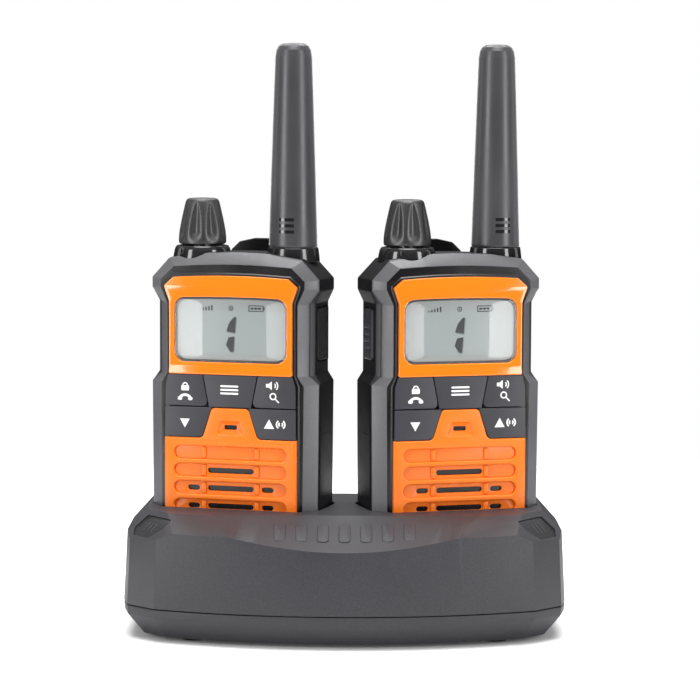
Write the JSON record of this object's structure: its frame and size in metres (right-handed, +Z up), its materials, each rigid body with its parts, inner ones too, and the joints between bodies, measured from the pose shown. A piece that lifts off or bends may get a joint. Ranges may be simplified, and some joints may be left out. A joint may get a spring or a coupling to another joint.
{
  "type": "two way radio set",
  "caption": "Pair of handheld two way radios standing in a shared desktop charging cradle, with keys, knobs, clips and doors that move.",
  "frame": {"origin": "middle of the set on the surface it stands on", "axes": "+Z up, -Y towards the cradle front, +X to the right seen from the front"},
  "size_m": [0.1458, 0.0781, 0.195],
  "materials": {
    "cradle_plastic": "fine grain, satin",
    "foot_rubber": "matt",
    "screw_steel": "plated",
    "board_green": "lacquered",
    "contact_gold": "plated",
    "inlet_black": "satin",
    "indicator_dark": "tinted",
    "rim_grey": "fine spark grain",
    "shell_black": "fine grain",
    "orange_gloss": "high gloss",
    "window_clear": "clear",
    "display_grey": "reflective display",
    "orange_satin": "satin gloss",
    "control_metal": "machined",
    "antenna_rubber": "satin moulded",
    "cell_sleeve": "sleeved cells",
    "speaker_black": "painted frame",
    "knob_black": "satin gloss",
    "key_rubber": "satin",
    "flap_rubber": "matt"
  },
  "bodies": {
    "cradle": {"cradle_cover": "cradle_plastic", "cradle_tray": "cradle_plastic", "cradle_feet": "foot_rubber", "cradle_screws": "screw_steel", "charger_board": "board_green", "contact_pins": "contact_gold", "power_inlet": "inlet_black", "status_windows": "indicator_dark"},
    "left_handset": {"left_front_shell": "rim_grey", "left_rear_shell": "shell_black", "left_display_bezel": "orange_gloss", "left_display_window": "window_clear", "left_lcd_module": "display_grey", "left_speaker_grille": "orange_satin", "left_volume_control": "control_metal", "left_antenna": "antenna_rubber", "left_clip_pin": "screw_steel", "left_battery_pack": "cell_sleeve", "left_circuit_board": "board_green", "left_loudspeaker": "speaker_black", "left_charge_contacts": "contact_gold", "left_case_screws": "screw_steel"},
    "left_knob": {"left_volume_knob": "knob_black"},
    "left_call_key": {"left_call_key": "key_rubber"},
    "left_menu_key": {"left_menu_key": "key_rubber"},
    "left_scan_key": {"left_scan_key": "key_rubber"},
    "left_down_key": {"left_down_key": "key_rubber"},
    "left_up_key": {"left_up_key": "key_rubber"},
    "left_talk_button": {"left_ptt_button": "key_rubber"},
    "left_jack_flap": {"left_jack_cover": "flap_rubber"},
    "left_clip": {"left_belt_clip": "shell_black"},
    "left_door": {"left_battery_door": "shell_black"},
    "right_handset": {"right_front_shell": "rim_grey", "right_rear_shell": "shell_black", "right_display_bezel": "orange_gloss", "right_display_window": "window_clear", "right_lcd_module": "display_grey", "right_speaker_grille": "orange_satin", "right_volume_control": "control_metal", "right_antenna": "antenna_rubber", "right_clip_pin": "screw_steel", "right_battery_pack": "cell_sleeve", "right_circuit_board": "board_green", "right_loudspeaker": "speaker_black", "right_charge_contacts": "contact_gold", "right_case_screws": "screw_steel"},
    "right_knob": {"right_volume_knob": "knob_black"},
    "right_call_key": {"right_call_key": "key_rubber"},
    "right_menu_key": {"right_menu_key": "key_rubber"},
    "right_scan_key": {"right_scan_key": "key_rubber"},
    "right_down_key": {"right_down_key": "key_rubber"},
    "right_up_key": {"right_up_key": "key_rubber"},
    "right_talk_button": {"right_ptt_button": "key_rubber"},
    "right_jack_flap": {"right_jack_cover": "flap_rubber"},
    "right_clip": {"right_belt_clip": "shell_black"},
    "right_door": {"right_battery_door": "shell_black"}
  },
  "joints": [
    {"name": "left_lift", "type": "slide", "parent": "cradle", "child": "left_handset", "axis": [0, 0, 1], "range_m": [0, 0.1]},
    {"name": "left_knob_turn", "type": "hinge", "parent": "left_handset", "child": "left_knob", "pos_m": [-0.04806, 0.0147, 0.136], "axis": [0, 0, 1], "range_deg": [0, 290]},
    {"name": "left_call_key_press", "type": "slide", "parent": "left_handset", "child": "left_call_key", "axis": [0.279, 0.9603, 0], "range_m": [0, 0.0008], "stiffness_N_per_m": 400, "springref_m": -0.0005},
    {"name": "left_menu_key_press", "type": "slide", "parent": "left_handset", "child": "left_menu_key", "axis": [0.279, 0.9603, 0], "range_m": [0, 0.0008], "stiffness_N_per_m": 400, "springref_m": -0.0005},
    {"name": "left_scan_key_press", "type": "slide", "parent": "left_handset", "child": "left_scan_key", "axis": [0.279, 0.9603, 0], "range_m": [0, 0.0008], "stiffness_N_per_m": 400, "springref_m": -0.0005},
    {"name": "left_down_key_press", "type": "slide", "parent": "left_handset", "child": "left_down_key", "axis": [0.279, 0.9603, 0], "range_m": [0, 0.0008], "stiffness_N_per_m": 400, "springref_m": -0.0005},
    {"name": "left_up_key_press", "type": "slide", "parent": "left_handset", "child": "left_up_key", "axis": [0.279, 0.9603, 0], "range_m": [0, 0.0008], "stiffness_N_per_m": 400, "springref_m": -0.0005},
    {"name": "left_talk_press", "type": "slide", "parent": "left_handset", "child": "left_talk_button", "axis": [0.9603, -0.279, 0], "range_m": [0, 0.0008], "stiffness_N_per_m": 600, "springref_m": -0.0005},
    {"name": "left_jack_flap_swing", "type": "hinge", "parent": "left_handset", "child": "left_jack_flap", "pos_m": [-0.00673, 0.00998, 0.0988], "axis": [0, 0, 1], "range_deg": [0, 95]},
    {"name": "left_clip_swing", "type": "hinge", "parent": "left_handset", "child": "left_clip", "pos_m": [-0.02781, 0.03277, 0.115], "axis": [0.9603, -0.279, 0], "range_deg": [0, 12], "stiffness_Nm_per_rad": 0.6, "springref_deg": -5.73},
    {"name": "left_door_release", "type": "slide", "parent": "left_handset", "child": "left_door", "axis": [0.279, 0.9603, 0], "range_m": [0, 0.02]},
    {"name": "right_lift", "type": "slide", "parent": "cradle", "child": "right_handset", "axis": [0, 0, 1], "range_m": [0, 0.1]},
    {"name": "right_knob_turn", "type": "hinge", "parent": "right_handset", "child": "right_knob", "pos_m": [0.0204, 0.00666, 0.136], "axis": [0, 0, 1], "range_deg": [0, 290]},
    {"name": "right_call_key_press", "type": "slide", "parent": "right_handset", "child": "right_call_key", "axis": [-0.279, 0.9603, 0], "range_m": [0, 0.0008], "stiffness_N_per_m": 400, "springref_m": -0.0005},
    {"name": "right_menu_key_press", "type": "slide", "parent": "right_handset", "child": "right_menu_key", "axis": [-0.279, 0.9603, 0], "range_m": [0, 0.0008], "stiffness_N_per_m": 400, "springref_m": -0.0005},
    {"name": "right_scan_key_press", "type": "slide", "parent": "right_handset", "child": "right_scan_key", "axis": [-0.279, 0.9603, 0], "range_m": [0, 0.0008], "stiffness_N_per_m": 400, "springref_m": -0.0005},
    {"name": "right_down_key_press", "type": "slide", "parent": "right_handset", "child": "right_down_key", "axis": [-0.279, 0.9603, 0], "range_m": [0, 0.0008], "stiffness_N_per_m": 400, "springref_m": -0.0005},
    {"name": "right_up_key_press", "type": "slide", "parent": "right_handset", "child": "right_up_key", "axis": [-0.279, 0.9603, 0], "range_m": [0, 0.0008], "stiffness_N_per_m": 400, "springref_m": -0.0005},
    {"name": "right_talk_press", "type": "slide", "parent": "right_handset", "child": "right_talk_button", "axis": [0.9603, 0.279, 0], "range_m": [0, 0.0008], "stiffness_N_per_m": 600, "springref_m": -0.0005},
    {"name": "right_jack_flap_swing", "type": "hinge", "parent": "right_handset", "child": "right_jack_flap", "pos_m": [0.05782, 0.02482, 0.0988], "axis": [0, 0, 1], "range_deg": [0, 95]},
    {"name": "right_clip_swing", "type": "hinge", "parent": "right_handset", "child": "right_clip", "pos_m": [0.02781, 0.03277, 0.115], "axis": [0.9603, 0.279, 0], "range_deg": [0, 12], "stiffness_Nm_per_rad": 0.6, "springref_deg": -5.73},
    {"name": "right_door_release", "type": "slide", "parent": "right_handset", "child": "right_door", "axis": [-0.279, 0.9603, 0], "range_m": [0, 0.02]}
  ]
}
